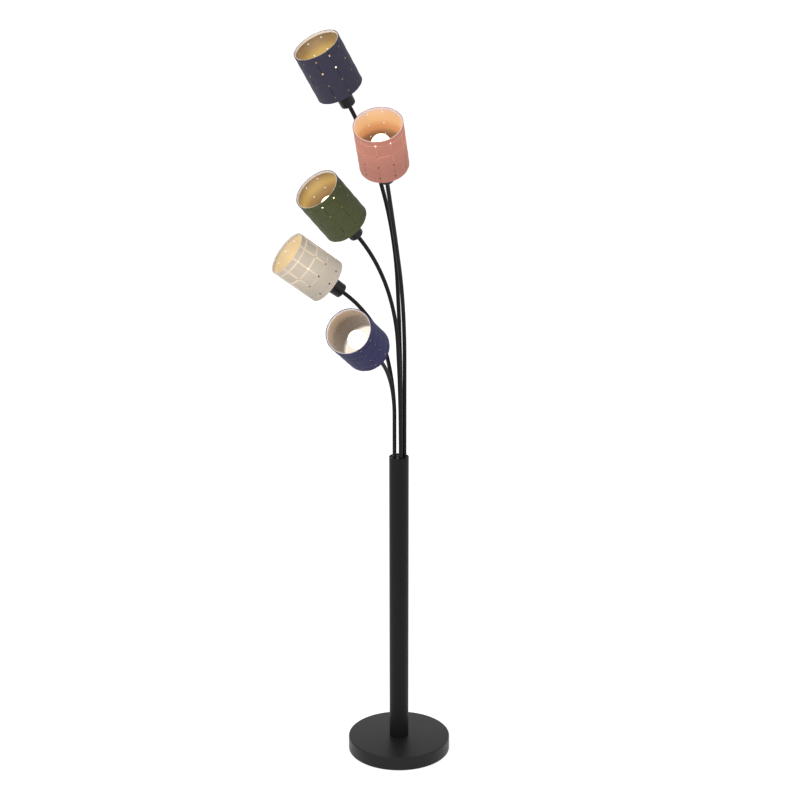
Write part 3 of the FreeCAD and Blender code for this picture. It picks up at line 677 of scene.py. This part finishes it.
tone = calculate(nodes, links, "MULTIPLY_ADD", tone, entry.outputs["Mottle"], 1.0)
links.new(tone, leave.inputs["Tone"])
links.new(fibre.outputs["Fac"], leave.inputs["Height"])


def scaled_color(nodes, links, color, factor):
    """A colour made lighter or darker by a value that varies over the surface."""
    node = nodes.new("ShaderNodeVectorMath")
    node.operation = "SCALE"
    node.inputs[0].default_value = color
    links.new(factor, node.inputs["Scale"])
    return node.outputs[0]


def light_through(nodes, links, strips, glow, seam_glow):
    """How much of the bulb's light comes through pale felt: more at the seams and the rim."""
    fade = nodes.new("ShaderNodeMapRange")
    fade.interpolation_type = "SMOOTHSTEP"
    fade.inputs["From Min"].default_value = GLOW_ENDS
    fade.inputs["From Max"].default_value = GLOW_FULL
    links.new(strips.outputs["Depth"], fade.inputs["Value"])
    seams = calculate(nodes, links, "MAXIMUM", strips.outputs["Line"], strips.outputs["Ring"])
    seams = calculate(nodes, links, "MULTIPLY", seams, seams)
    lit = calculate(nodes, links, "MULTIPLY_ADD", seams, seam_glow, glow)
    return calculate(nodes, links, "MULTIPLY", lit, fade.outputs["Result"])


def felt(name, color, upright_seam_shadow, ring_seam_shadow, seam_width, glow, seam_glow):
    """Felt of one colour: on dark felt a painted shadow darkens the seams where strips part,
    and on pale felt the bulb's light is painted through them.
    """
    made, nodes, links, shader = new_material(name)
    sheet = nodes.new("ShaderNodeUVMap")
    sheet.uv_map = "sheet"
    fibres = add_group(nodes, felt_fibres)
    strips = add_group(nodes, lattice, Seam_Width=seam_width)
    links.new(sheet.outputs[0], fibres.inputs["Sheet"])
    links.new(sheet.outputs[0], strips.inputs["Sheet"])
    # Painted shade: the seams where the strips part are darkened in the felt's colour, the
    # upright ones most where they gape.
    shade = calculate(nodes, links, "MULTIPLY_ADD", strips.outputs["Upright Shadow"], upright_seam_shadow,
                      1.0)
    shade = calculate(nodes, links, "MULTIPLY_ADD", strips.outputs["Ring"], ring_seam_shadow, shade)
    shade = calculate(nodes, links, "MULTIPLY", shade, fibres.outputs["Tone"])
    links.new(scaled_color(nodes, links, color, shade), shader.inputs["Base Color"])
    shader.inputs["Roughness"].default_value = 0.92
    shader.inputs["Specular IOR Level"].default_value = 0.12
    shader.inputs["Sheen Weight"].default_value = 0.15
    shader.inputs["Sheen Roughness"].default_value = 0.5
    bump = nodes.new("ShaderNodeBump")
    bump.inputs["Strength"].default_value = 0.6
    bump.inputs["Distance"].default_value = 0.0003
    links.new(fibres.outputs["Height"], bump.inputs["Height"])
    links.new(bump.outputs["Normal"], shader.inputs["Normal"])
    if glow:
        lit = light_through(nodes, links, strips, glow, seam_glow)
        lit = calculate(nodes, links, "MULTIPLY", lit, fibres.outputs["Tone"])
        warm = [part * warmth for part, warmth in zip(color, GLOW_WARMTH)]
        links.new(scaled_color(nodes, links, warm, lit), shader.inputs["Emission Color"])
        shader.inputs["Emission Strength"].default_value = 1.0
    return made


# The seam factors are painted shadow, strongest on the deep felts; the pale felts get painted
# light from the bulb at their seams instead.
FELTS = {
    "blue": dict(color=(0.045, 0.042, 0.071), upright_seam_shadow=-0.8, ring_seam_shadow=-0.10,
                 seam_width=0.0014, glow=0.0, seam_glow=0.0),
    "pink": dict(color=(0.49, 0.205, 0.155), upright_seam_shadow=-0.25, ring_seam_shadow=0.0,
                 seam_width=0.0021, glow=0.13, seam_glow=0.50),
    "green": dict(color=(0.077, 0.086, 0.034), upright_seam_shadow=-0.7, ring_seam_shadow=-0.18,
                  seam_width=0.0014, glow=0.0, seam_glow=0.0),
    "white": dict(color=(0.60, 0.525, 0.430), upright_seam_shadow=0.0, ring_seam_shadow=0.0,
                  seam_width=0.0042, glow=0.09, seam_glow=0.50),
    "navy": dict(color=(0.0245, 0.0230, 0.094), upright_seam_shadow=-0.7, ring_seam_shadow=-0.5,
                 seam_width=0.0014, glow=0.0, seam_glow=0.0),
}
for colour, head in heads.items():
    place = head @ Matrix.Rotation(math.radians(ARM_FORMS[colour]["shade_turn"]), 4, "Z")
    sleeve = pierced_sheet(HOLE_RADIUS)
    roll_up(sleeve, SHELL_SKIN, WEAVE_SWELL, FELT_THICKNESS)
    shell = finish_piece(colour + "_woven_shell", sleeve, place, sharp_from=55)
    shell.data.materials.append(felt(colour + "_felt", **FELTS[colour]))
    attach(shell, colour + "_branch")
    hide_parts(colour + "_shell")

# ------------------------------------------------------------------ liners
# Inside each shell stands a thin sleeve of milky plastic with a flat floor, clamped on the
# lamp holder.  Its smaller holes line up with the shell's, and a pale band stiffens its rim.
LINER_RADIUS = 55.6 * mm
LINER_WALL = 0.8 * mm
LINER_FLOOR = 1.5 * mm
HOLDER_HOLE = 14.1 * mm
LINER_HOLE_RADIUS = 1.9 * mm
BAND_OUTSIDE = 55.9 * mm
BAND_INSIDE = 53.85 * mm
BAND_DEPTH = 6.0 * mm
BAND_EDGE = 0.7 * mm
FLOOR_GLOW = (1.0, 0.93, 0.82, 1)

floor_outline = [(HOLDER_HOLE, SHADE_FOOT), (LINER_RADIUS - LINER_WALL, SHADE_FOOT),
                 (LINER_RADIUS - LINER_WALL, SHADE_FOOT + LINER_FLOOR),
                 (HOLDER_HOLE, SHADE_FOOT + LINER_FLOOR)]
band_outline = [(LINER_RADIUS - LINER_WALL, RIM - BAND_DEPTH), (BAND_OUTSIDE, RIM - BAND_DEPTH)]
band_outline += quarter_round(BAND_OUTSIDE - BAND_EDGE, RIM - BAND_EDGE, BAND_EDGE, 0)
band_outline += quarter_round(BAND_INSIDE + BAND_EDGE, RIM - BAND_EDGE, BAND_EDGE, 90)
band_outline += [(BAND_INSIDE, RIM - BAND_DEPTH + 1 * mm)]


def liner_skin(name, base, stops):
    """Milky plastic, its colour kept dark and the bulb's light and shade painted on as a glow.
    Each stop is a depth below the rim, as a part of the shade's height, and the painted glow's
    colour there."""
    made, nodes, links, shader = new_material(name)
    sheet = nodes.new("ShaderNodeUVMap")
    sheet.uv_map = "sheet"
    strips = add_group(nodes, lattice)
    links.new(sheet.outputs[0], strips.inputs["Sheet"])
    grain = add_group(nodes, fine_grain, Scale=400.0, Plain_Roughness=0.36)
    links.new(sheet.outputs[0], grain.inputs["Place"])
    links.new(grain.outputs["Roughness"], shader.inputs["Roughness"])
    ramp = nodes.new("ShaderNodeValToRGB")
    ramp.color_ramp.interpolation = "EASE"
    ramp.color_ramp.elements[0].position = stops[0][0]
    ramp.color_ramp.elements[0].color = (*stops[0][1], 1)
    ramp.color_ramp.elements[1].position = stops[-1][0]
    ramp.color_ramp.elements[1].color = (*stops[-1][1], 1)
    for position, color in stops[1:-1]:
        added = ramp.color_ramp.elements.new(position)
        added.color = (*color, 1)
    links.new(strips.outputs["Depth"], ramp.inputs["Fac"])
    links.new(ramp.outputs["Color"], shader.inputs["Emission Color"])
    shader.inputs["Base Color"].default_value = (*base, 1)
    shader.inputs["Specular IOR Level"].default_value = 0.5
    shader.inputs["Emission Strength"].default_value = 1.0
    return made


def floor_skin(name, base, glow):
    """The liner's plastic on its floor, in one tone whose darkness and painted glow are set per
    shade as painted shade and painted light.
    """
    made = grained(name, base, roughness=0.5, grain_scale=400.0, depth=0.1 * mm)
    floor_shader = made.node_tree.nodes["Principled BSDF"]
    floor_shader.inputs["Emission Color"].default_value = FLOOR_GLOW
    floor_shader.inputs["Emission Strength"].default_value = glow
    return made


# Painted light and shade inside each shade: the glow is warm and bright in the upper part and
# dark near the bulb, and navy's last stop paints the bright patch by its floor.
LINERS = {
    "blue": dict(base=(0.14, 0.10, 0.06), stops=[(0.0, (0.07, 0.045, 0.025)),
                 (0.16, (0.18, 0.11, 0.045)), (0.40, (0.44, 0.28, 0.055)),
                 (0.7, (0.12, 0.09, 0.05)), (1.0, (0.05, 0.045, 0.04))]),
    "pink": dict(base=(0.30, 0.20, 0.13), stops=[(0.0, (0.52, 0.34, 0.20)),
                 (0.25, (0.52, 0.29, 0.12)), (0.45, (0.40, 0.14, 0.04)),
                 (0.62, (0.05, 0.016, 0.008)), (1.0, (0.02, 0.008, 0.005))]),
    "green": dict(base=(0.14, 0.10, 0.06), stops=[(0.0, (0.14, 0.085, 0.035)),
                  (0.25, (0.42, 0.27, 0.07)), (0.42, (0.24, 0.14, 0.045)),
                  (0.65, (0.07, 0.045, 0.022)), (1.0, (0.05, 0.04, 0.025))]),
    "white": dict(base=(0.30, 0.25, 0.17), stops=[(0.0, (0.46, 0.35, 0.20)),
                  (0.3, (0.50, 0.37, 0.19)), (0.52, (0.24, 0.14, 0.06)),
                  (0.64, (0.03, 0.015, 0.008)), (1.0, (0.02, 0.01, 0.006))]),
    "navy": dict(base=(0.12, 0.10, 0.08), stops=[(0.0, (0.34, 0.22, 0.105)),
                 (0.2, (0.20, 0.130, 0.080)), (0.42, (0.035, 0.022, 0.016)),
                 (0.85, (0.03, 0.022, 0.018)), (1.0, (0.5, 0.46, 0.40))]),
}
# Painted light and shade on the floors: navy's is pale with a strong painted glow, the others
# are darkened as painted shade with only a faint painted glow.
FLOORS = {
    "blue": dict(base=(0.10, 0.10, 0.11), glow=0.08),
    "pink": dict(base=(0.05, 0.02, 0.015), glow=0.01),
    "green": dict(base=(0.10, 0.08, 0.05), glow=0.06),
    "white": dict(base=(0.06, 0.03, 0.02), glow=0.01),
    "navy": dict(base=(0.80, 0.76, 0.70), glow=0.6),
}
BANDS = {
    "blue": (0.86, 0.78, 0.73),
    "pink": (0.74, 0.68, 0.76),
    "green": (0.84, 0.78, 0.80),
    "white": (0.62, 0.58, 0.54),
    "navy": (0.76, 0.75, 0.84),
}
for colour, head in heads.items():
    place = head @ Matrix.Rotation(math.radians(ARM_FORMS[colour]["shade_turn"]), 4, "Z")
    sleeve = pierced_sheet(LINER_HOLE_RADIUS)
    roll_up(sleeve, LINER_RADIUS, 0.0, LINER_WALL)
    wall = finish_piece(colour + "_milky_liner", sleeve, place)
    wall.data.materials.append(liner_skin(colour + "_liner", **LINERS[colour]))
    band = turn_outline(colour + "_rim_band", band_outline, 120, place)
    band.data.materials.append(grained(colour + "_band", BANDS[colour], roughness=0.5,
                                       grain_scale=400.0, depth=0.1 * mm))
    liner_floor = turn_outline(colour + "_liner_floor", floor_outline, 96, place)
    liner_floor.data.materials.append(floor_skin(colour + "_floor", **FLOORS[colour]))
    for piece in (wall, band, liner_floor):
        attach(piece, colour + "_branch")
        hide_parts(colour + "_liner")
